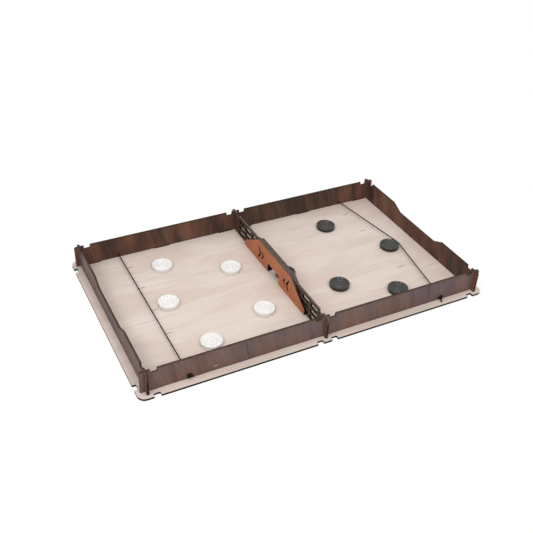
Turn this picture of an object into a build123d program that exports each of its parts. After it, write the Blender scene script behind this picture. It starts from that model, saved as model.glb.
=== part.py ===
from build123d import *
import math
import os

# Sling puck board, in millimetres. The origin is under the middle of the base,
# X runs along the length towards the black side, Y towards the back, Z up.

# plywood sheets
base_thickness = 3.0
wall_thickness = 2.8

# base board
base_length = 510.0
base_width = 300.0
base_corner_radius = 10.0

# walls: outer faces, how far each wall runs past its crossing, and the top edge
end_wall_outer_x = 244.0
long_wall_outer_y = 138.5
long_wall_half_length = 250.0
end_wall_half_length = 145.0
wall_top_z = 35.2
lap_fit = 0.2
wall_corner_radius = 3.0

# edge notches, one each side of every crossing
notch_width = 9.0
notch_depth = 5.0
notch_corner_radius = 1.6
notch_x_places = (-232.0, -10.5, 10.5, 232.0)
notch_y_places = (-126.5, 126.5)

# tabs that drop from the walls into slots in the base; a slot is cut wider than its wall
tab_length = 24.0
tab_slot_extra = 1.2
long_wall_tab_places = (-227.0, -120.5, -16.5, 16.5, 120.5, 227.0)
end_wall_tab_places = (-114.0, 0.0, 114.0)
divider_tab_places = (-110.0, -58.0, 58.0, 110.0)

# hand recess in the top edge of each end wall
recess_floor_z = 26.7
recess_floor_half_width = 43.0
recess_top_half_width = 61.5

# divider: lattice wall between two plates, with the gate through all three
divider_raised_z = 39.3
divider_raised_half_width = 47.0
divider_slope_half_width = 60.0
gate_half_width = 16.5
gate_top_z = 17.0
gate_plate_half_length = 91.5
gate_plate_tip_z = 11.5
gate_plate_shoulder_radius = 8.0
gate_plate_tip_radius = 3.0
lattice_slot_length = 17.5
lattice_slot_height = 6.0
lattice_slot_pitch = 22.0
lattice_columns = (-5, -4, -3, 3, 4, 5)
lattice_row_heights = (9.2, 18.6, 28.0)

# arrow cuts in the gate plates: distance of the tip from the gate's middle, then the arms and the stroke
arrow_centre_z = 19.0
arrows = (
    {"tip": 29.8, "reach": 4.5, "half_height": 6.3, "stroke": 3.5},
    {"tip": 38.2, "reach": 6.5, "half_height": 9.6, "stroke": 4.4},
)

# slings: elastic cord held in holes in the long walls
sling_x = 188.0
sling_z = 7.5
sling_radius = 0.8
sling_hole_radius = 1.15
knot_ring_radius = 2.1
knot_cord_radius = 1.5
knot_tail_length = 4.5

# start marks etched beside each sling
mark_length = 10.5
mark_width = 0.9
mark_depth = 0.3
mark_centre_x = 182.3
mark_y_places = (-104.0, -52.0, 0.0, 52.0, 104.0)

# shallow nick low in the front wall's outer face
nick_x = -153.5
nick_z = 9.6
nick_length = 6.4
nick_height = 1.5
nick_depth = 0.4

# pucks: round, with rings and a small disc standing on both faces
puck_radius = 14.5
puck_thickness = 6.0
puck_face_drop = 0.9
puck_rest_gap = 0.3
white_puck_places = (
    (-139.0, 86.1),
    (-50.6, 42.1),
    (-160.8, 3.1),
    (-48.4, -61.2),
    (-139.2, -92.4),
)
black_puck_places = (
    (131.8, 82.4),
    (194.6, -2.6),
    (73.5, -55.5),
    (144.2, -97.9),
    (15.8, -1.0),
)
nocked_puck = 2

# sizes that follow from those above
long_wall_y = long_wall_outer_y - wall_thickness / 2
end_wall_x = end_wall_outer_x - wall_thickness / 2
wall_height = wall_top_z - base_thickness
lap_z = base_thickness + wall_height / 2
slot_width = wall_thickness + lap_fit

os.makedirs("parts", exist_ok=True)


def finish(part, name):
    part.label = name
    export_step(part, f"parts/{name}.step")


def wall_plane(axis, outer):
    # a sketch plane standing on a wall's outer or left face, its X along the wall and its Y up
    if axis == "x":
        return Plane(origin=(0, outer, 0), x_dir=(1, 0, 0), z_dir=(0, -1, 0))
    return Plane(origin=(outer, 0, 0), x_dir=(0, 1, 0), z_dir=(1, 0, 0))


def rounded_box_cut(width, height, radius):
    RectangleRounded(width, height, radius, mode=Mode.SUBTRACT)


def wall_blank(half_length, tab_places):
    # standing rectangle with rounded top corners, and its tabs reaching down to the underside
    with Locations((0, base_thickness + wall_height / 2)):
        blank = Rectangle(2 * half_length, wall_height)
    fillet(blank.vertices().group_by(Axis.Y)[-1], radius=wall_corner_radius)
    with Locations([(place, base_thickness / 2) for place in tab_places]):
        Rectangle(tab_length, base_thickness)


def top_notches(places):
    # twice as tall as deep, so that only the lower half of each cuts the top edge
    with Locations([(place, wall_top_z) for place in places]):
        rounded_box_cut(notch_width, 2 * notch_depth, notch_corner_radius)


def lap_slots_from_below():
    with Locations([(y, (base_thickness + lap_z) / 2 - 1) for y in (-long_wall_y, long_wall_y)]):
        Rectangle(slot_width, lap_z - base_thickness + 2, mode=Mode.SUBTRACT)


# base board
with BuildPart() as base_board:
    with BuildSketch(Plane.XY):
        RectangleRounded(base_length, base_width, base_corner_radius)
        with Locations([(x, y) for x in notch_x_places for y in (-base_width / 2, base_width / 2)]):
            rounded_box_cut(notch_width, 2 * notch_depth, notch_corner_radius)
        with Locations([(x, y) for x in (-base_length / 2, base_length / 2) for y in notch_y_places]):
            rounded_box_cut(2 * notch_depth, notch_width, notch_corner_radius)
        inner_slot_y = long_wall_y - tab_slot_extra / 2
        with Locations([(x, y) for x in long_wall_tab_places for y in (-inner_slot_y, inner_slot_y)]):
            Rectangle(tab_length + lap_fit, slot_width + tab_slot_extra, mode=Mode.SUBTRACT)
        with Locations([(x, y) for x in (-end_wall_x, end_wall_x) for y in end_wall_tab_places]):
            Rectangle(slot_width, tab_length + lap_fit, mode=Mode.SUBTRACT)
        with Locations([(0, y) for y in divider_tab_places]):
            Rectangle(slot_width, tab_length + lap_fit, mode=Mode.SUBTRACT)
    extrude(amount=base_thickness)
    with BuildSketch(Plane.XY.offset(base_thickness)):
        with Locations([(x, y) for x in (-mark_centre_x, mark_centre_x) for y in mark_y_places]):
            SlotOverall(mark_length, mark_width)
    extrude(amount=-mark_depth, mode=Mode.SUBTRACT)
finish(base_board.part, "base_board")


# long walls, front and back: slotted from the top where the end walls and the divider cross
def long_wall_sketch():
    wall_blank(long_wall_half_length, long_wall_tab_places)
    top_notches(notch_x_places)
    with Locations([(x, (lap_z + wall_top_z) / 2 + 1) for x in (-end_wall_x, 0, end_wall_x)]):
        Rectangle(slot_width, wall_top_z - lap_z + 2, mode=Mode.SUBTRACT)
    with Locations([(-sling_x, sling_z), (sling_x, sling_z)]):
        Circle(sling_hole_radius, mode=Mode.SUBTRACT)


with BuildPart() as front_long_wall:
    with BuildSketch(wall_plane("x", -long_wall_outer_y)):
        long_wall_sketch()
    extrude(amount=-wall_thickness)
    with BuildSketch(wall_plane("x", -long_wall_outer_y)):
        with Locations((nick_x, nick_z)):
            SlotOverall(nick_length, nick_height)
    extrude(amount=-nick_depth, mode=Mode.SUBTRACT)
finish(front_long_wall.part, "front_long_wall")

with BuildPart() as back_long_wall:
    with BuildSketch(wall_plane("x", long_wall_outer_y)):
        long_wall_sketch()
    extrude(amount=wall_thickness)
finish(back_long_wall.part, "back_long_wall")


# end walls: slotted from below at the long walls, with a hand recess in the top edge
def end_wall_sketch():
    wall_blank(end_wall_half_length, end_wall_tab_places)
    top_notches(notch_y_places)
    Polygon(
        (-recess_floor_half_width, recess_floor_z),
        (recess_floor_half_width, recess_floor_z),
        (recess_top_half_width, wall_top_z),
        (recess_top_half_width, wall_top_z + 1),
        (-recess_top_half_width, wall_top_z + 1),
        (-recess_top_half_width, wall_top_z),
        align=None,
        mode=Mode.SUBTRACT,
    )
    lap_slots_from_below()


for name, outer_x in (("left_end_wall", -end_wall_outer_x), ("right_end_wall", end_wall_outer_x)):
    inward = wall_thickness if outer_x < 0 else -wall_thickness
    with BuildPart() as end_wall:
        with BuildSketch(wall_plane("y", outer_x)):
            end_wall_sketch()
        extrude(amount=inward)
        recess_corners = [
            edge
            for edge in end_wall.edges().filter_by(Axis.X)
            if edge.center().Z > recess_floor_z - 0.1 and abs(edge.center().Y) < recess_top_half_width + 1
        ]
        fillet(recess_corners, radius=5.0)
    finish(end_wall.part, name)


# divider lattice wall: slotted from below like an end wall, raised in the middle, open at the gate
def gate_opening():
    with Locations((0, gate_top_z - 15)):
        rounded_box_cut(2 * gate_half_width, 30.0, 2.0)


with BuildPart() as divider_lattice_wall:
    with BuildSketch(wall_plane("y", -wall_thickness / 2)):
        wall_blank(end_wall_half_length, divider_tab_places)
        Polygon(
            (-divider_slope_half_width, wall_top_z),
            (-divider_slope_half_width, wall_top_z - 5),
            (divider_slope_half_width, wall_top_z - 5),
            (divider_slope_half_width, wall_top_z),
            (divider_raised_half_width, divider_raised_z),
            (-divider_raised_half_width, divider_raised_z),
            align=None,
        )
        top_notches(notch_y_places)
        lap_slots_from_below()
        gate_opening()
        lattice_places = [
            (column * lattice_slot_pitch, z) for column in lattice_columns for z in lattice_row_heights
        ]
        with Locations(lattice_places):
            rounded_box_cut(lattice_slot_length, lattice_slot_height, 0.8)
    extrude(amount=wall_thickness)
finish(divider_lattice_wall.part, "divider_lattice_wall")


# gate plates: one each side of the lattice wall, with arrows cut through that point at the gate
def arrow(tip, reach, half_height, stroke, side):
    back = tip + reach
    Polygon(
        (side * tip, arrow_centre_z),
        (side * back, arrow_centre_z + half_height),
        (side * (back + 0.6 * stroke), arrow_centre_z + half_height),
        (side * (tip + stroke), arrow_centre_z),
        (side * (back + 0.6 * stroke), arrow_centre_z - half_height),
        (side * back, arrow_centre_z - half_height),
        align=None,
        mode=Mode.SUBTRACT,
    )


for name, near_x in (("left_gate_plate", -1.5 * wall_thickness), ("right_gate_plate", 0.5 * wall_thickness)):
    with BuildPart() as gate_plate:
        with BuildSketch(wall_plane("y", near_x)):
            Polygon(
                (-gate_plate_half_length, base_thickness),
                (gate_plate_half_length, base_thickness),
                (gate_plate_half_length, gate_plate_tip_z),
                (divider_raised_half_width, divider_raised_z),
                (-divider_raised_half_width, divider_raised_z),
                (-gate_plate_half_length, gate_plate_tip_z),
                align=None,
            )
            gate_opening()
            for side in (-1, 1):
                for sizes in arrows:
                    arrow(side=side, **sizes)
        extrude(amount=wall_thickness)
        edges_across = gate_plate.edges().filter_by(Axis.X)
        shoulders = [edge for edge in edges_across if edge.center().Z > divider_raised_z - 0.1]
        tips = [
            edge
            for edge in edges_across
            if abs(edge.center().Y) > gate_plate_half_length - 0.1 and edge.center().Z > base_thickness + 0.1
        ]
        fillet(shoulders, radius=gate_plate_shoulder_radius)
        fillet(tips, radius=gate_plate_tip_radius)
    finish(gate_plate.part, name)


# pucks: one turned profile, half of it on each side of the mid height
def puck_profile():
    half = puck_thickness / 2
    low = half - puck_face_drop
    Polygon(
        (0, 0),
        (puck_radius, 0),
        (puck_radius, half - 0.8),
        (puck_radius - 0.8, half),
        (puck_radius - 3.0, half),
        (puck_radius - 3.4, low),
        (9.4, low),
        (9.0, half - 0.1),
        (7.6, half - 0.1),
        (7.2, low),
        (3.0, low),
        (2.6, half - 0.1),
        (0, half - 0.1),
        align=None,
    )


def make_pucks(colour, places):
    for number, (x, y) in enumerate(places, start=1):
        middle = Plane(origin=(x, y, base_thickness + puck_thickness / 2), x_dir=(1, 0, 0), z_dir=(0, -1, 0))
        with BuildPart() as puck:
            with BuildSketch(middle):
                puck_profile()
                mirror(about=Plane.XZ)
            revolve(axis=Axis((x, y, 0), (0, 0, 1)))
        finish(puck.part, f"{colour}_puck_{number}")


make_pucks("white", white_puck_places)
make_pucks("black", black_puck_places)


# slings: the white one straight, the black one drawn round the nocked puck
with BuildPart() as white_side_sling:
    with BuildSketch(Plane(origin=(-sling_x, -long_wall_outer_y, sling_z), z_dir=(0, 1, 0))):
        Circle(sling_radius)
    extrude(amount=2 * long_wall_outer_y)
finish(white_side_sling.part, "white_side_sling")

# the drawn cord runs straight through each hole, then to where it meets the puck's bend circle
nock_x, nock_y = black_puck_places[nocked_puck - 1]
bend_radius = puck_radius + puck_rest_gap + sling_radius
inner_wall_y = long_wall_outer_y - wall_thickness


def bend_angle(hole_y):
    # angle round the puck, in degrees, of the point where the cord from this hole touches the circle
    away_x = sling_x - nock_x
    away_y = hole_y - nock_y
    turn = math.acos(bend_radius / math.hypot(away_x, away_y))
    start = math.atan2(away_y, away_x)
    return math.degrees(start + turn if hole_y < 0 else start - turn)


def bend_point(angle):
    turn = math.radians(angle)
    return (nock_x + bend_radius * math.cos(turn), nock_y + bend_radius * math.sin(turn), sling_z)


front_bend = bend_angle(-inner_wall_y)
back_bend = bend_angle(inner_wall_y)
with BuildPart() as black_side_sling:
    with BuildLine():
        Line((sling_x, -long_wall_outer_y, sling_z), (sling_x, -inner_wall_y, sling_z))
        Line((sling_x, -inner_wall_y, sling_z), bend_point(front_bend))
        CenterArc((nock_x, nock_y, sling_z), bend_radius, front_bend, back_bend - front_bend)
        Line(bend_point(back_bend), (sling_x, inner_wall_y, sling_z))
        Line((sling_x, inner_wall_y, sling_z), (sling_x, long_wall_outer_y, sling_z))
    with BuildSketch(Plane(origin=(sling_x, -long_wall_outer_y, sling_z), z_dir=(0, 1, 0))):
        Circle(sling_radius)
    sweep(transition=Transition.RIGHT)
finish(black_side_sling.part, "black_side_sling")


# knots outside the long walls, each with a short tail
def make_knot(name, x, side):
    centre_y = side * (long_wall_outer_y + knot_cord_radius + 0.1)
    outward = 1 if x > 0 else -1
    with BuildPart() as knot:
        with Locations((x, centre_y, sling_z)):
            Torus(knot_ring_radius, knot_cord_radius, rotation=(90, 0, 0))
            Sphere(knot_cord_radius)
        with Locations((x + outward * 1.6, centre_y, sling_z - 1.4)):
            Cylinder(
                sling_radius,
                knot_tail_length,
                rotation=(0, -62 * outward, 0),
                align=(Align.CENTER, Align.CENTER, Align.MAX),
            )
    finish(knot.part, name)


for side_name, side in (("front", -1), ("back", 1)):
    make_knot(f"white_sling_{side_name}_knot", -sling_x, side)
    make_knot(f"black_sling_{side_name}_knot", sling_x, side)
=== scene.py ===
import math

import bpy
import numpy as np
from mathutils import Matrix, Vector


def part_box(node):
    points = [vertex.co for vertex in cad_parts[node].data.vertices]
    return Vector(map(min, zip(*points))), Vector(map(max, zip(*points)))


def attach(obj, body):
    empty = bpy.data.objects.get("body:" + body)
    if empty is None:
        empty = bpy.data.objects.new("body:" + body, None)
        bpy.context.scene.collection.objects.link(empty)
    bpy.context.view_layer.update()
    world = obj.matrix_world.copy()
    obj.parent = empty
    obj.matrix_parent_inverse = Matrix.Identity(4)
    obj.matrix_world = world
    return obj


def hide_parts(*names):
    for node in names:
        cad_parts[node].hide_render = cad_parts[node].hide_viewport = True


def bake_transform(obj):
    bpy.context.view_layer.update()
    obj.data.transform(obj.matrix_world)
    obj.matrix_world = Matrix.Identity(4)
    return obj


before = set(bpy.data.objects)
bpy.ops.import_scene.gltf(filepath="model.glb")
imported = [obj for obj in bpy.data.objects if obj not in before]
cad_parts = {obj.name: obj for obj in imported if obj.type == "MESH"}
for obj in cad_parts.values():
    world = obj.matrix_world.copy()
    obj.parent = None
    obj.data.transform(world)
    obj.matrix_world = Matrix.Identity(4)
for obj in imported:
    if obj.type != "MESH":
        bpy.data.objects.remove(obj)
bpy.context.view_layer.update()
scene = bpy.context.scene
print("frame loaded:", len(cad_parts), "nodes")

mm = 0.001


# camera and light

view = {
    "place": (-0.4246, -0.7527, 0.6522),
    "looksAt": (-0.0002, 0.0273, 0.0030),
    "roll": 2.92,
    "lens": 50.99,
    "sensor": 36.0,
    "nearClip": 0.05,
    "farClip": 20.0,
}


def addCamera(v):
    # aimed along the look line, then rolled about it
    data = bpy.data.cameras.new("boardCamera")
    data.lens = v["lens"]
    data.sensor_width = v["sensor"]
    data.clip_start = v["nearClip"]
    data.clip_end = v["farClip"]
    obj = bpy.data.objects.new("boardCamera", data)
    scene.collection.objects.link(obj)
    aim = (Vector(v["looksAt"]) - Vector(v["place"])).to_track_quat("-Z", "Y").to_matrix().to_4x4()
    roll = Matrix.Rotation(math.radians(v["roll"]), 4, "Z")
    obj.matrix_world = Matrix.Translation(v["place"]) @ aim @ roll
    scene.camera = obj


addCamera(view)

studio = {
    "skyStrength": 0.68,
    "lamps": (
        # name, place, aim, size, watts
        ("keyLeft", (-0.95, -0.50, 1.05), (-0.05, 0.0, 0.0), 0.60, 6.4),
        ("keyRight", (0.05, -1.05, 1.05), (0.05, 0.0, 0.0), 0.60, 6.4),
        ("overhead", (0.05, 0.25, 1.35), (0.0, 0.0, 0.0), 0.90, 3.6),
    ),
    "white": (1.0, 1.0, 1.0, 1.0),
    "floorColor": (0.95, 0.95, 0.95, 1.0),
    # how white the floor is seen near the board, and the distances from its middle where that starts
    # to grow and where it is full
    "glowNear": 0.74,
    "glowFrom": 0.26,
    "glowFullAt": 0.55,
    "floorHalfSize": 3.0,
    "floorCells": 8,
    "floorDrop": 0.2 * mm,
}


# shader helpers

class Wire:
    # wraps one output socket, so that shader sums read as sums
    def __init__(self, bench, socket):
        self.bench = bench
        self.socket = socket

    def sum(self, operation, first, second):
        return self.bench.node("ShaderNodeMath", {"operation": operation}, {0: first, 1: second})

    def __add__(self, other):
        return self.sum("ADD", self, other)

    def __radd__(self, other):
        return self.sum("ADD", other, self)

    def __sub__(self, other):
        return self.sum("SUBTRACT", self, other)

    def __rsub__(self, other):
        return self.sum("SUBTRACT", other, self)

    def __mul__(self, other):
        return self.sum("MULTIPLY", self, other)

    def __rmul__(self, other):
        return self.sum("MULTIPLY", other, self)

    def __gt__(self, other):
        return self.sum("GREATER_THAN", self, other)

    def __lt__(self, other):
        return self.sum("LESS_THAN", self, other)

    def __abs__(self):
        return self.bench.node("ShaderNodeMath", {"operation": "ABSOLUTE"}, {0: self})

    def ramp(self, low, high, start=0.0, end=1.0):
        # smooth step from start at low to end at high, held beyond both
        settings = {"interpolation_type": "SMOOTHSTEP"}
        sockets = {"Value": self, "From Min": low, "From Max": high, "To Min": start, "To Max": end}
        return self.bench.node("ShaderNodeMapRange", settings, sockets)


class Bench:
    # one material, or the sky, being put together
    def __init__(self, name, sky=None):
        self.material = sky or bpy.data.materials.new(name)
        self.material.use_nodes = True
        self.tree = self.material.node_tree
        self.tree.nodes.clear()

    def node(self, kind, settings=None, sockets=None, out=0):
        made = self.tree.nodes.new(kind)
        for key, value in (settings or {}).items():
            setattr(made, key, value)
        for key, value in (sockets or {}).items():
            if isinstance(value, Wire):
                self.tree.links.new(value.socket, made.inputs[key])
            else:
                made.inputs[key].default_value = value
        return None if out is None else Wire(self, made.outputs[out])

    def place(self):
        return self.node("ShaderNodeTexCoord", out="Object")

    def stretched(self, scale, turn=(0.0, 0.0, 0.0), shift=(0.0, 0.0, 0.0)):
        # object coordinates turned first and stretched after, so that a turned grain stays a grain
        turned = self.node("ShaderNodeMapping", None, {"Vector": self.place(), "Rotation": turn})
        return self.node("ShaderNodeMapping", None, {"Vector": turned, "Scale": scale, "Location": shift})

    def axes(self, vector):
        split = self.node("ShaderNodeSeparateXYZ", None, {0: vector})
        outputs = split.socket.node.outputs
        return [Wire(self, outputs[i]) for i in range(3)]

    def facing(self):
        return self.axes(self.node("ShaderNodeNewGeometry", out="Normal"))

    def noise(self, vector, scale, detail, rough=0.55, bent=0.0):
        sockets = {"Vector": vector, "Scale": scale, "Detail": detail, "Roughness": rough, "Distortion": bent}
        return self.node("ShaderNodeTexNoise", None, sockets)

    def mix(self, factor, a, b):
        return self.node("ShaderNodeMix", {"data_type": "RGBA"}, {0: factor, 6: a, 7: b}, 2)

    def seenRays(self):
        # 1 for camera, mirror and glass rays
        rays = self.node("ShaderNodeLightPath").socket.node
        seen = [Wire(self, rays.outputs[f"Is {kind} Ray"]) for kind in ("Camera", "Glossy", "Transmission")]
        return (seen[0] + seen[1] + seen[2]) > 0.5

    def finish(self, color, rough, height, depth, **constants):
        # depth is the bump's reach in metres; the constants are set on the shader's own sockets
        bump = self.node("ShaderNodeBump", None, {"Height": height, "Distance": depth, "Strength": 0.6})
        sockets = {"Base Color": color, "Roughness": rough, "Normal": bump}
        for key, value in constants.items():
            sockets[key.replace("_", " ")] = value
        shader = self.node("ShaderNodeBsdfPrincipled", None, sockets)
        self.node("ShaderNodeOutputMaterial", None, {"Surface": shader}, None)
        return self.material


# wood finishes

# colours are linear; the noise scales are in cycles per metre
birch = {
    "pale": (0.650, 0.562, 0.508, 1.0),
    "pink": (0.600, 0.492, 0.438, 1.0),
    "beige": (0.555, 0.482, 0.418, 1.0),
    "streak": (0.380, 0.300, 0.245, 1.0),
    "etched": (0.080, 0.050, 0.036, 1.0),
    "burnt": (0.006, 0.004, 0.003, 1.0),
    "burntCore": (0.022, 0.013, 0.009, 1.0),
    "topZ": 3.0 * mm,
    # how far under the top a face has to lie to be the floor of a start mark
    "markFrom": 0.1 * mm,
    "markTo": 0.6 * mm,
}


def sootyEdges(bench, burnt, core, away, half):
    # the cut edge of a sheet: dark at its two faces, with one ply lighter and flecked;
    # away is 0 on that ply's line, half is half the sheet's thickness
    skin = abs(away).ramp(0.45 * half, 0.80 * half)
    fleck = bench.noise(bench.place(), 700.0, 3.0, 0.6)
    inner = bench.mix(fleck.ramp(0.40, 0.65, 0.0, 0.75), core, burnt)
    return bench.mix(skin, inner, burnt)


def makeBirch(b):
    bench = Bench("whitewashedBirch")
    z = bench.axes(bench.place())[2]
    nz = bench.facing()[2]
    wander = bench.noise(bench.stretched((2.2, 9.0, 9.0)), 3.0, 5.0, 0.6, 0.6)
    patches = bench.noise(bench.stretched((7.0, 24.0, 24.0), shift=(0.3, 0.1, 0.0)), 1.6, 4.0, 0.6, 0.4)
    lines = bench.noise(bench.stretched((9.0, 420.0, 420.0)), 1.0, 5.0, 0.65, 0.3)
    fine = bench.noise(bench.stretched((60.0, 1500.0, 1500.0)), 1.0, 3.0, 0.7)
    color = bench.mix(wander.ramp(0.38, 0.62), b["pale"], b["pink"])
    color = bench.mix(patches.ramp(0.48, 0.72, 0.0, 0.65), color, b["beige"])
    color = bench.mix(lines.ramp(0.50, 0.78, 0.0, 0.46), color, b["streak"])
    color = bench.mix(fine.ramp(0.55, 0.80, 0.0, 0.34), color, b["streak"])
    # the start marks lie below the top face
    sunk = (z < b["topZ"] - b["markFrom"]) * (z > b["topZ"] - b["markTo"]) * (nz > 0.5)
    color = bench.mix(sunk, color, b["etched"])
    side = abs(nz) < 0.5
    soot = sootyEdges(bench, b["burnt"], b["burntCore"], z - 0.5 * b["topZ"], 0.5 * b["topZ"])
    color = bench.mix(side, color, soot)
    rough = lines.ramp(0.3, 0.7, 0.50, 0.62) + side * 0.25
    return bench.finish(color, rough, lines * 0.6 + fine * 0.4, 0.00012, Specular_IOR_Level=0.12)


walnut = {
    # the cool outer colour is a painted sheen, the purple the outer faces take on, more of it toward the top
    "outerCoolSheen": (0.104, 0.076, 0.080, 1.0),
    "outerWarm": (0.160, 0.090, 0.068, 1.0),
    # the dark inner colour is painted shade on the inner faces, mixed by drift with the wood's red tone
    "innerDark": (0.054, 0.032, 0.024, 1.0),
    "innerRed": (0.150, 0.070, 0.046, 1.0),
    "streak": (0.030, 0.018, 0.014, 1.0),
    "pale": (0.225, 0.155, 0.130, 1.0),
    "burnt": (0.006, 0.004, 0.003, 1.0),
    # the lighter ply line; its orange-brown near the top also serves as the painted highlight on the top
    # edges
    "burntCore": (0.110, 0.058, 0.034, 1.0),
    "bareWood": (0.560, 0.460, 0.380, 1.0),
    "endRed": (0.165, 0.062, 0.038, 1.0),
    # cross walls are redder past this distance from the board's middle line
    "redPastY": 138.6 * mm,
    "redShare": 0.75,
    "smokeTop": 1.4 * mm,
    "smokeFoot": 1.2 * mm,
    "smokeShare": 0.55,
    "nickDepth": 0.2 * mm,
    # the light ply line is off the middle by this share of half the thickness, moved toward the outer face as
    # a painted highlight along the top edge
    "coreHighlightShift": 0.30,
    # the core is dark, as painted shade in deep cuts, deeper than the first of these distances under the
    # wall's top, and full above the second
    "coreShadedBelow": 14.0 * mm,
    "coreLitAbove": 7.0 * mm,
    "lean": 0.22,
}


def makeWallPly(name, w, across, outward, low, high, seed):
    # a standing wall: across is its thickness axis, outward the sign of its outer side;
    # the grain runs up the wall and leans by the finish's lean, in radians
    bench = Bench(name)
    place = bench.axes(bench.place())
    normal = bench.facing()
    flat = abs(normal[across]) > 0.5
    outer = (normal[across] * outward) > 0.5
    lean = (w["lean"], 0.0, 0.0) if across == 0 else (0.0, w["lean"], 0.0)
    shift = (seed, 0.37 * seed, 0.11 * seed)
    drift = bench.noise(bench.stretched((22.0, 22.0, 5.0), lean, shift), 1.0, 4.0, 0.55, 0.5)
    bands = bench.noise(bench.stretched((75.0, 75.0, 7.0), lean, shift), 1.0, 5.0, 0.6, 0.8)
    lines = bench.noise(bench.stretched((560.0, 560.0, 16.0), lean, shift), 1.0, 5.0, 0.65, 0.4)
    pores = bench.noise(bench.stretched((1400.0, 1400.0, 70.0), lean, shift), 1.0, 2.0, 0.7)
    height = place[2].ramp(low[2], high[2])
    # outer faces mix the warm wood with the painted sheen: drift gives random tone, and height gives more
    # sheen toward the top
    outerWithSheen = bench.mix(drift.ramp(0.38, 0.60) * 0.55 + height * 0.45, w["outerWarm"], w["outerCoolSheen"])
    # inner faces are darker than the outer ones: painted shade inside the box, mixed with the wood's red tone
    innerShadeAndTone = bench.mix(drift.ramp(0.38, 0.62), w["innerDark"], w["innerRed"])
    color = bench.mix(outer, innerShadeAndTone, outerWithSheen)
    color = bench.mix(bands.ramp(0.52, 0.70, 0.0, 0.18), color, w["pale"])
    color = bench.mix(bands.ramp(0.48, 0.32, 0.0, 0.30), color, w["streak"])
    color = bench.mix(lines.ramp(0.50, 0.72, 0.0, 0.42), color, w["streak"])
    color = bench.mix(pores.ramp(0.58, 0.78, 0.0, 0.35), color, w["burnt"])
    if across == 0:
        # the ends that stand out past the long walls are redder; on the lattice these ends lie out of its
        # painted shadow
        color = bench.mix((abs(place[1]) > w["redPastY"]) * w["redShare"], color, w["endRed"])
    # smoke from the cut along the top and the bottom
    top, foot = high[2], birch["topZ"]
    smoke = place[2].ramp(top - w["smokeTop"], top) + place[2].ramp(foot + w["smokeFoot"], foot)
    color = bench.mix(smoke * w["smokeShare"], color, w["burnt"])
    # a nick that goes below the outer face shows bare wood
    skinPlane = high[across] if outward > 0 else low[across]
    sunk = (abs(place[across] - skinPlane) > w["nickDepth"]) * outer
    color = bench.mix(sunk, color, w["bareWood"])
    # the lighter ply line sits a little outward of the middle as a painted highlight along the outer edge,
    # and deep cuts stay dark as painted shade
    half = 0.5 * (high[across] - low[across])
    middle = 0.5 * (low[across] + high[across]) + w["coreHighlightShift"] * outward * half
    depth = place[2].ramp(top - w["coreShadedBelow"], top - w["coreLitAbove"])
    core = bench.mix(depth, w["burnt"], w["burntCore"])
    soot = sootyEdges(bench, w["burnt"], core, place[across] - middle, half)
    color = bench.mix(flat, soot, color)
    rough = lines.ramp(0.3, 0.7, 0.42, 0.58)
    return bench.finish(color, rough, lines * 0.6 + pores * 0.4, 0.00010, Specular_IOR_Level=0.12)


lattice = dict(
    walnut,
    # the lattice's outer colours are darkened as painted shadow between the gate plate and the lattice, along
    # with soot
    outerCoolSheen=(0.085, 0.054, 0.042, 1.0),
    outerWarm=(0.078, 0.042, 0.030, 1.0),
    innerDark=(0.090, 0.052, 0.036, 1.0),
    innerRed=(0.160, 0.082, 0.054, 1.0),
    burntCore=(0.170, 0.128, 0.108, 1.0),
    coreHighlightShift=0.0,
    lean=0.0,
)

mahogany = dict(
    walnut,
    outerCoolSheen=(0.480, 0.180, 0.082, 1.0),
    outerWarm=(0.400, 0.132, 0.060, 1.0),
    innerDark=(0.400, 0.132, 0.060, 1.0),
    innerRed=(0.480, 0.180, 0.082, 1.0),
    streak=(0.210, 0.068, 0.036, 1.0),
    pale=(0.560, 0.260, 0.145, 1.0),
    burntCore=(0.170, 0.128, 0.108, 1.0),
    coreHighlightShift=0.0,
    lean=0.0,
)


def dress(node, material):
    # the CAD node keeps its mesh; only its material slots change
    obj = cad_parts[node]
    for slot in obj.material_slots:
        slot.material = material


def middleOf(node):
    low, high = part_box(node)
    return tuple(0.5 * (a + b) for a, b in zip(low, high))


def dressWalls():
    dress("base_board", makeBirch(birch))
    walls = (
        ("front_long_wall", walnut, 1, -1.0, 0.0),
        ("back_long_wall", walnut, 1, 1.0, 3.1),
        ("left_end_wall", walnut, 0, -1.0, 5.3),
        ("right_end_wall", walnut, 0, 1.0, 7.9),
        ("divider_lattice_wall", lattice, 0, -1.0, 11.7),
        ("left_gate_plate", mahogany, 0, -1.0, 13.2),
        ("right_gate_plate", mahogany, 0, 1.0, 17.4),
    )
    for node, finish, across, outward, seed in walls:
        low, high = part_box(node)
        dress(node, makeWallPly(node + "_ply", finish, across, outward, low, high, seed))


dressWalls()
print("walls and base dressed")


# pucks

puck = {
    "rimWidth": 2.6 * mm,
    "faceDrop": 0.95 * mm,
    "ringAt": 7.6 * mm,
    "ringWidth": 1.7 * mm,
    "discRadius": 2.6 * mm,
    "edgeRadius": 0.8 * mm,
    "stepWidth": 1.0 * mm,
    # how far the ring and the disc rise back out of the dish
    "ringRise": 0.8,
    "discRise": 0.75,
    "facePoints": 96,
    "edgePoints": 9,
    "turns": 96,
    # main colour, worn colour, roughness, coat
    "plastics": {
        "white": ((0.715, 0.703, 0.683, 1.0), (0.695, 0.682, 0.660, 1.0), 0.55, 0.0),
        "black": ((0.009, 0.009, 0.008, 1.0), (0.018, 0.018, 0.017, 1.0), 0.26, 0.1),
    },
}


def softStep(value, low, high):
    # 3 t^2 - 2 t^3, with t from 0 at low to 1 at high and held beyond both
    t = np.clip((value - low) / (high - low), 0.0, 1.0)
    return t * t * (3.0 - 2.0 * t)


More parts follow.
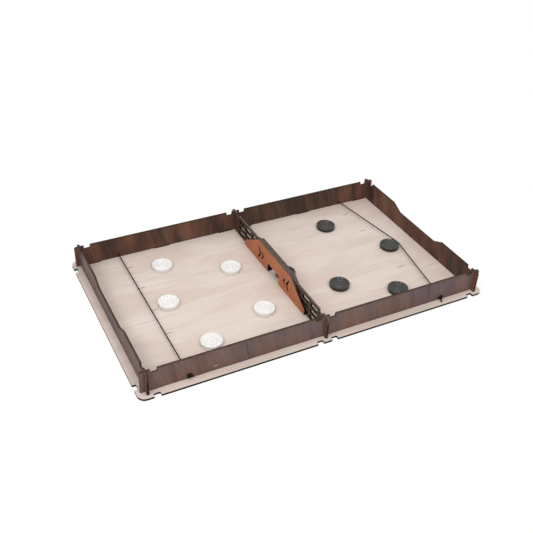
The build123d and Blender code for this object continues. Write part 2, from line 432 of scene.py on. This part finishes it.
def puckProfile(p, outer, half):
    # half height against radius: rim flat, then a dish with one raised ring and a raised centre disc;
    # each step is a smooth step, and the outer edge is a quarter circle
    edge, step = p["edgeRadius"], p["stepWidth"]
    radius = np.linspace(0.0, outer - edge, p["facePoints"])
    dish = 1.0 - softStep(radius, outer - p["rimWidth"] - step, outer - p["rimWidth"])
    ring = 1.0 - softStep(np.abs(radius - p["ringAt"]), 0.5 * p["ringWidth"], 0.5 * p["ringWidth"] + step)
    disc = 1.0 - softStep(radius, p["discRadius"], p["discRadius"] + step)
    height = half - p["faceDrop"] * np.clip(dish - p["ringRise"] * ring - p["discRise"] * disc, 0.0, 1.0)
    turn = np.linspace(0.5 * math.pi, 0.0, p["edgePoints"])[1:]
    radius = np.concatenate((radius, outer - edge + edge * np.cos(turn)))
    height = np.concatenate((height, half - edge + edge * np.sin(turn)))
    return np.concatenate((radius, radius[::-1])), np.concatenate((height, -height[::-1]))


def lathe(profile, center, turns):
    # points (r cos a, r sin a, h) about the centre, on a grid of profile by angle, closed at both poles
    radius, height = profile[0][1:-1], profile[1][1:-1]
    angle = np.linspace(0.0, 2.0 * math.pi, turns, endpoint=False)
    grid = np.empty((len(radius), turns, 3))
    grid[..., 0] = center[0] + radius[:, None] * np.cos(angle)
    grid[..., 1] = center[1] + radius[:, None] * np.sin(angle)
    grid[..., 2] = center[2] + height[:, None]
    poles = np.array([[center[0], center[1], center[2] + profile[1][end]] for end in (0, -1)])
    points = np.concatenate((grid.reshape(-1, 3), poles))
    row, column = np.meshgrid(np.arange(len(radius) - 1), np.arange(turns), indexing="ij")
    after = (column + 1) % turns
    near, far = row * turns, (row + 1) * turns
    quads = np.stack((near + column, far + column, far + after, near + after), -1)
    around = np.arange(turns)
    following = (around + 1) % turns
    top = len(points) - 2
    last = (len(radius) - 1) * turns
    capTop = np.stack((np.full(turns, top), around, following), -1)
    capLow = np.stack((np.full(turns, top + 1), last + following, last + around), -1)
    return points, quads.reshape(-1, 4), np.concatenate((capTop, capLow))


def meshPiece(name, points, quads, triangles=None, smooth=True):
    # a closed mesh written as whole arrays: corner indices, then where each face starts
    quads = np.asarray(quads, dtype=np.int32)
    triangles = np.zeros((0, 3), np.int32) if triangles is None else np.asarray(triangles, dtype=np.int32)
    mesh = bpy.data.meshes.new(name)
    mesh.vertices.add(len(points))
    mesh.vertices.foreach_set("co", np.asarray(points, dtype=np.float32).ravel())
    corners = np.concatenate((quads.ravel(), triangles.ravel()))
    mesh.loops.add(len(corners))
    mesh.loops.foreach_set("vertex_index", corners)
    starts = np.concatenate((np.arange(len(quads)) * 4, len(quads) * 4 + np.arange(len(triangles)) * 3))
    mesh.polygons.add(len(starts))
    mesh.polygons.foreach_set("loop_start", starts.astype(np.int32))
    mesh.polygons.foreach_set("use_smooth", np.full(len(starts), smooth))
    mesh.update(calc_edges=True)
    mesh.validate()
    obj = bpy.data.objects.new(name, mesh)
    scene.collection.objects.link(obj)
    return obj


def makePlastic(name, main, worn, rough, coat):
    # moulded plastic: faint cloudiness, a fine grain, and scuffs that show in the gloss
    bench = Bench(name)
    cloud = bench.noise(bench.place(), 60.0, 3.0)
    scuff = bench.noise(bench.stretched((350.0, 1600.0, 900.0), (0.0, 0.0, 0.6)), 1.0, 3.0, 0.7, 0.6)
    grainy = bench.noise(bench.place(), 2600.0, 2.0)
    color = bench.mix(cloud.ramp(0.40, 0.65, 0.0, 0.40), main, worn)
    color = bench.mix(scuff.ramp(0.66, 0.85, 0.0, 0.20), color, worn)
    roughness = scuff.ramp(0.50, 0.80, rough, rough + 0.12)
    return bench.finish(color, roughness, grainy, 0.000004, Coat_Weight=coat, Coat_Roughness=0.15)


def addPucks(p):
    for color, finish in p["plastics"].items():
        plastic = makePlastic(color + "PuckPlastic", *finish)
        for number in range(1, 6):
            node = f"{color}_puck_{number}"
            low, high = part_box(node)
            profile = puckProfile(p, 0.5 * (high[0] - low[0]), 0.5 * (high[2] - low[2]))
            points, quads, caps = lathe(profile, middleOf(node), p["turns"])
            piece = meshPiece(f"{color}Puck{number}", points, quads, caps)
            piece.data.materials.append(plastic)
            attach(piece, node + "_body")
            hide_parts(node)


addPucks(puck)
print("pucks turned")


# slings and their knots

sling = {
    "puckGap": 0.3 * mm,
    "color": (0.004, 0.004, 0.004, 1.0),
    "thread": (0.014, 0.013, 0.012, 1.0),
    "around": 16,
    "step": 1.2 * mm,
    "bendPoints": 12,
    # half the length at the white sling's middle; addHalf takes it as farY and does not use it
    "middleHalf": 6.0 * mm,
    "knotSize": 1.15 * mm,
    "knotLean": 0.5,
    "knotPoints": 120,
    # the knot's depth and height against its width
    "knotDepth": 0.95,
    "knotHeight": 0.9,
    "stubStep": 0.4 * mm,
    "tailPoints": 14,
    "tailDrop": 1.2 * mm,
    "tailCurl": 0.5 * mm,
    # each knot: where its middle is from the hole's mouth, which way its tail points and the tail's length;
    # x counts away from the board's middle and y away from the wall
    "knots": {
        "whiteFront": ((0.0, 1.7 * mm, 0.7 * mm), (0.70, 0.30, -0.35), 3.4 * mm),
        "whiteBack": ((0.0, 2.0 * mm, 0.1 * mm), (0.60, 0.45, -0.35), 5.0 * mm),
        "blackFront": ((-1.2 * mm, 2.0 * mm, -0.4 * mm), (-0.30, 0.80, -0.30), 7.0 * mm),
        "blackBack": ((0.0, 2.0 * mm, 0.1 * mm), (0.40, 0.75, -0.32), 6.0 * mm),
    },
}


def slingPlaces(s):
    # where the cords and walls are, read from the frame
    low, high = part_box("white_side_sling")
    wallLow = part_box("back_long_wall")[0]
    x, z = -0.5 * (low[0] + high[0]), 0.5 * (low[2] + high[2])
    radius = 0.5 * (high[2] - low[2])
    return dict(s, x=x, z=z, radius=radius, wallOuterY=high[1], wallInnerY=wallLow[1])


def tube(path, radius, around):
    # circles of points carried along the path, each in the plane across it:
    # path + radius (side cos a + up sin a), with side level, or square to Y where the path is nearly upright
    path = np.asarray(path, dtype=float)
    ahead = np.gradient(path, axis=0)
    ahead /= np.linalg.norm(ahead, axis=1)[:, None]
    side = np.cross(ahead, (0.0, 0.0, 1.0))
    weak = np.linalg.norm(side, axis=1) < 0.2
    side[weak] = np.cross(ahead[weak], (0.0, 1.0, 0.0))
    side /= np.linalg.norm(side, axis=1)[:, None]
    up = np.cross(side, ahead)
    angle = np.linspace(0.0, 2.0 * math.pi, around, endpoint=False)
    rings = path[:, None, :] + radius * (
        side[:, None, :] * np.cos(angle)[None, :, None] + up[:, None, :] * np.sin(angle)[None, :, None]
    )
    count = len(path)
    points = np.concatenate((rings.reshape(-1, 3), path[:1], path[-1:]))
    row, column = np.meshgrid(np.arange(count - 1), np.arange(around), indexing="ij")
    after = (column + 1) % around
    near, far = row * around, (row + 1) * around
    quads = np.stack((near + column, near + after, far + after, far + column), -1)
    ring = np.arange(around)
    following = (ring + 1) % around
    first = count * around
    last = (count - 1) * around
    caps = np.concatenate(
        (
            np.stack((np.full(around, first), following, ring), -1),
            np.stack((np.full(around, first + 1), last + ring, last + following), -1),
        )
    )
    return points, quads.reshape(-1, 4), caps


def makeCordCloth(s):
    # woven sleeve of the elastic: fine crossing ribs
    bench = Bench("wovenElastic")
    waves = {"Vector": bench.place(), "Scale": 420.0, "Distortion": 0.4}
    ribs = bench.node("ShaderNodeTexWave", {"bands_direction": "DIAGONAL"}, waves)
    fuzz = bench.noise(bench.place(), 3500.0, 2.0)
    color = bench.mix(ribs.ramp(0.3, 0.9, 0.0, 0.7), s["color"], s["thread"])
    color = bench.mix(fuzz.ramp(0.5, 0.8, 0.0, 0.4), color, s["thread"])
    return bench.finish(color, fuzz.ramp(0.3, 0.7, 0.6, 0.8), ribs, 0.00008, Specular_IOR_Level=0.12)


def straightRun(start, end, step):
    # start + (end - start) t, with t in even steps from 0 to 1
    start, end = np.array(start), np.array(end)
    count = max(2, int(round(np.linalg.norm(end - start) / step)) + 1)
    return start + (end - start) * np.linspace(0.0, 1.0, count)[:, None]


def drawnHalf(s, center, bend, side):
    # from the outer face straight through the hole, on to the touching point of the bend circle,
    # then along the circle to its far point
    outer = (s["x"], side * s["wallOuterY"], s["z"])
    inner = (s["x"], side * s["wallInnerY"], s["z"])
    awayX, awayY = inner[0] - center[0], inner[1] - center[1]
    touch = math.atan2(awayY, awayX) - side * math.acos(bend / math.hypot(awayX, awayY))
    angle = np.linspace(touch, 0.0, s["bendPoints"])
    arc = (center[0] + bend * np.cos(angle), center[1] + bend * np.sin(angle), np.full(len(angle), s["z"]))
    arc = np.stack(arc, -1)
    runs = (straightRun(outer, inner, s["step"])[:-1], straightRun(inner, arc[0], s["step"])[:-1], arc)
    return np.concatenate(runs), float(arc[0][1])


def addHalf(name, color, path, s, cloth, farY):
    # start and end span the wall's inner face to farY, where the cord would turn from the board's motion to
    # the sling's; nothing uses them
    piece = meshPiece(name, *tube(path, s["radius"], s["around"]))
    piece.data.materials.append(cloth)
    side = math.copysign(1.0, path[0][1])
    x = float(path[0][0])
    start, end = (x, side * s["wallInnerY"], s["z"]), (x, farY, s["z"])
    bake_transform(piece)
    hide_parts(color + "_side_sling")


def addSlings(s):
    cloth = makeCordCloth(s)
    nocked = middleOf("black_puck_2")
    low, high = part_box("black_puck_2")
    bend = 0.5 * (high[0] - low[0]) + s["puckGap"] + s["radius"]
    for side, sideName in ((-1.0, "Front"), (1.0, "Back")):
        hole = (-s["x"], side * s["wallOuterY"], s["z"])
        path = straightRun(hole, (-s["x"], 0.0, s["z"]), s["step"])
        addHalf("whiteSling" + sideName, "white", path, s, cloth, side * s["middleHalf"])
        path, touchY = drawnHalf(s, nocked, bend, side)
        addHalf("blackSling" + sideName, "black", path, s, cloth, touchY)
        for color, x in (("white", -s["x"]), ("black", s["x"])):
            addKnot(color, sideName, x, side, s, cloth)


def trefoil(s, center, lean):
    # overhand knot: (sin t + 2 sin 2t, -sin 3t, cos t - 2 cos 2t), turned about Y,
    # made small and a little flat
    t = np.linspace(0.0, 2.0 * math.pi, s["knotPoints"])
    a = np.sin(t) + 2.0 * np.sin(2.0 * t)
    b = np.cos(t) - 2.0 * np.cos(2.0 * t)
    x = a * math.cos(lean) - b * math.sin(lean)
    z = a * math.sin(lean) + b * math.cos(lean)
    y = -s["knotDepth"] * np.sin(3.0 * t)
    return np.array(center) + s["knotSize"] * np.stack((x, y, s["knotHeight"] * z), -1)


def addKnot(color, sideName, x, side, s, cloth):
    away, aim, length = s["knots"][color + sideName]
    outward = math.copysign(1.0, x)
    ways = np.array((outward, side, 1.0))
    mouth = np.array((x, side * s["wallOuterY"], s["z"]))
    center = mouth + ways * away
    loop = tube(trefoil(s, center, s["knotLean"] * outward), s["radius"], s["around"])
    stub = tube(straightRun(mouth, center, s["stubStep"]), s["radius"], s["around"])
    # the tail leaves the knot's lower side and curls up a little at its end
    t = np.linspace(0.0, 1.0, s["tailPoints"])[:, None]
    tail = center - np.array((0.0, 0.0, s["tailDrop"])) + length * t * ways * aim
    tail[:, 2] += s["tailCurl"] * t[:, 0] ** 2
    piece = joined(f"{color}SlingKnot{sideName}", (loop, stub, tube(tail, s["radius"], s["around"])))
    piece.data.materials.append(cloth)
    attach(piece, "board")
    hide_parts(f"{color}_sling_{sideName.lower()}_knot")


def joined(name, parts):
    # several closed surfaces in one mesh, each part's corner numbers moved past the ones before it
    offset, points, quads, caps = 0, [], [], []
    for partPoints, partQuads, partCaps in parts:
        points.append(partPoints)
        quads.append(partQuads + offset)
        caps.append(partCaps + offset)
        offset += len(partPoints)
    return meshPiece(name, np.concatenate(points), np.concatenate(quads), np.concatenate(caps))


addSlings(slingPlaces(sling))
print("slings strung")


# floor, sky and lamps

def addFloor(st):
    # flat paper; camera, mirror and glass rays see it partly as plain white near the board, where it keeps
    # a faint shadow, and wholly white further out
    half, cells = st["floorHalfSize"], st["floorCells"]
    side = np.linspace(-half, half, cells + 1)
    gx, gy = np.meshgrid(side, side, indexing="ij")
    points = np.stack((gx, gy, np.full_like(gx, -st["floorDrop"])), -1).reshape(-1, 3)
    row, column = np.meshgrid(np.arange(cells), np.arange(cells), indexing="ij")
    corner = row * (cells + 1) + column
    quads = np.stack((corner, corner + cells + 1, corner + cells + 2, corner + 1), -1)
    floor = meshPiece("studioFloor", points, quads.reshape(-1, 4), smooth=False)
    bench = Bench("studioPaper")
    paper = bench.node("ShaderNodeBsdfDiffuse", None, {"Color": st["floorColor"]})
    glow = bench.node("ShaderNodeEmission", None, {"Color": st["white"], "Strength": 1.0})
    distance = bench.node("ShaderNodeVectorMath", {"operation": "LENGTH"}, {0: bench.place()}, "Value")
    seen = bench.seenRays() * distance.ramp(st["glowFrom"], st["glowFullAt"], st["glowNear"], 1.0)
    mixed = bench.node("ShaderNodeMixShader", None, {0: seen, 1: paper, 2: glow})
    bench.node("ShaderNodeOutputMaterial", None, {"Surface": mixed}, None)
    floor.data.materials.append(bench.material)


def addSky(st):
    # plain sky at the strength that lights the board, and white where it is seen
    sky = bpy.data.worlds.new("studioSky")
    scene.world = sky
    bench = Bench("studioSky", sky)
    strength = st["skyStrength"] + bench.seenRays() * (1.0 - st["skyStrength"])
    background = bench.node("ShaderNodeBackground", None, {"Color": st["white"], "Strength": strength})
    bench.node("ShaderNodeOutputWorld", None, {"Surface": background}, None)


def addLamps(st):
    for name, place, aim, size, watts in st["lamps"]:
        data = bpy.data.lights.new(name, "AREA")
        data.shape = "DISK"
        data.size = size
        data.energy = watts
        lamp = bpy.data.objects.new(name, data)
        scene.collection.objects.link(lamp)
        turn = (Vector(aim) - Vector(place)).to_track_quat("-Z", "Y").to_matrix().to_4x4()
        lamp.matrix_world = Matrix.Translation(place) @ turn


addFloor(studio)
addSky(studio)
addLamps(studio)
scene.view_settings.view_transform = "Standard"
print("studio lit")
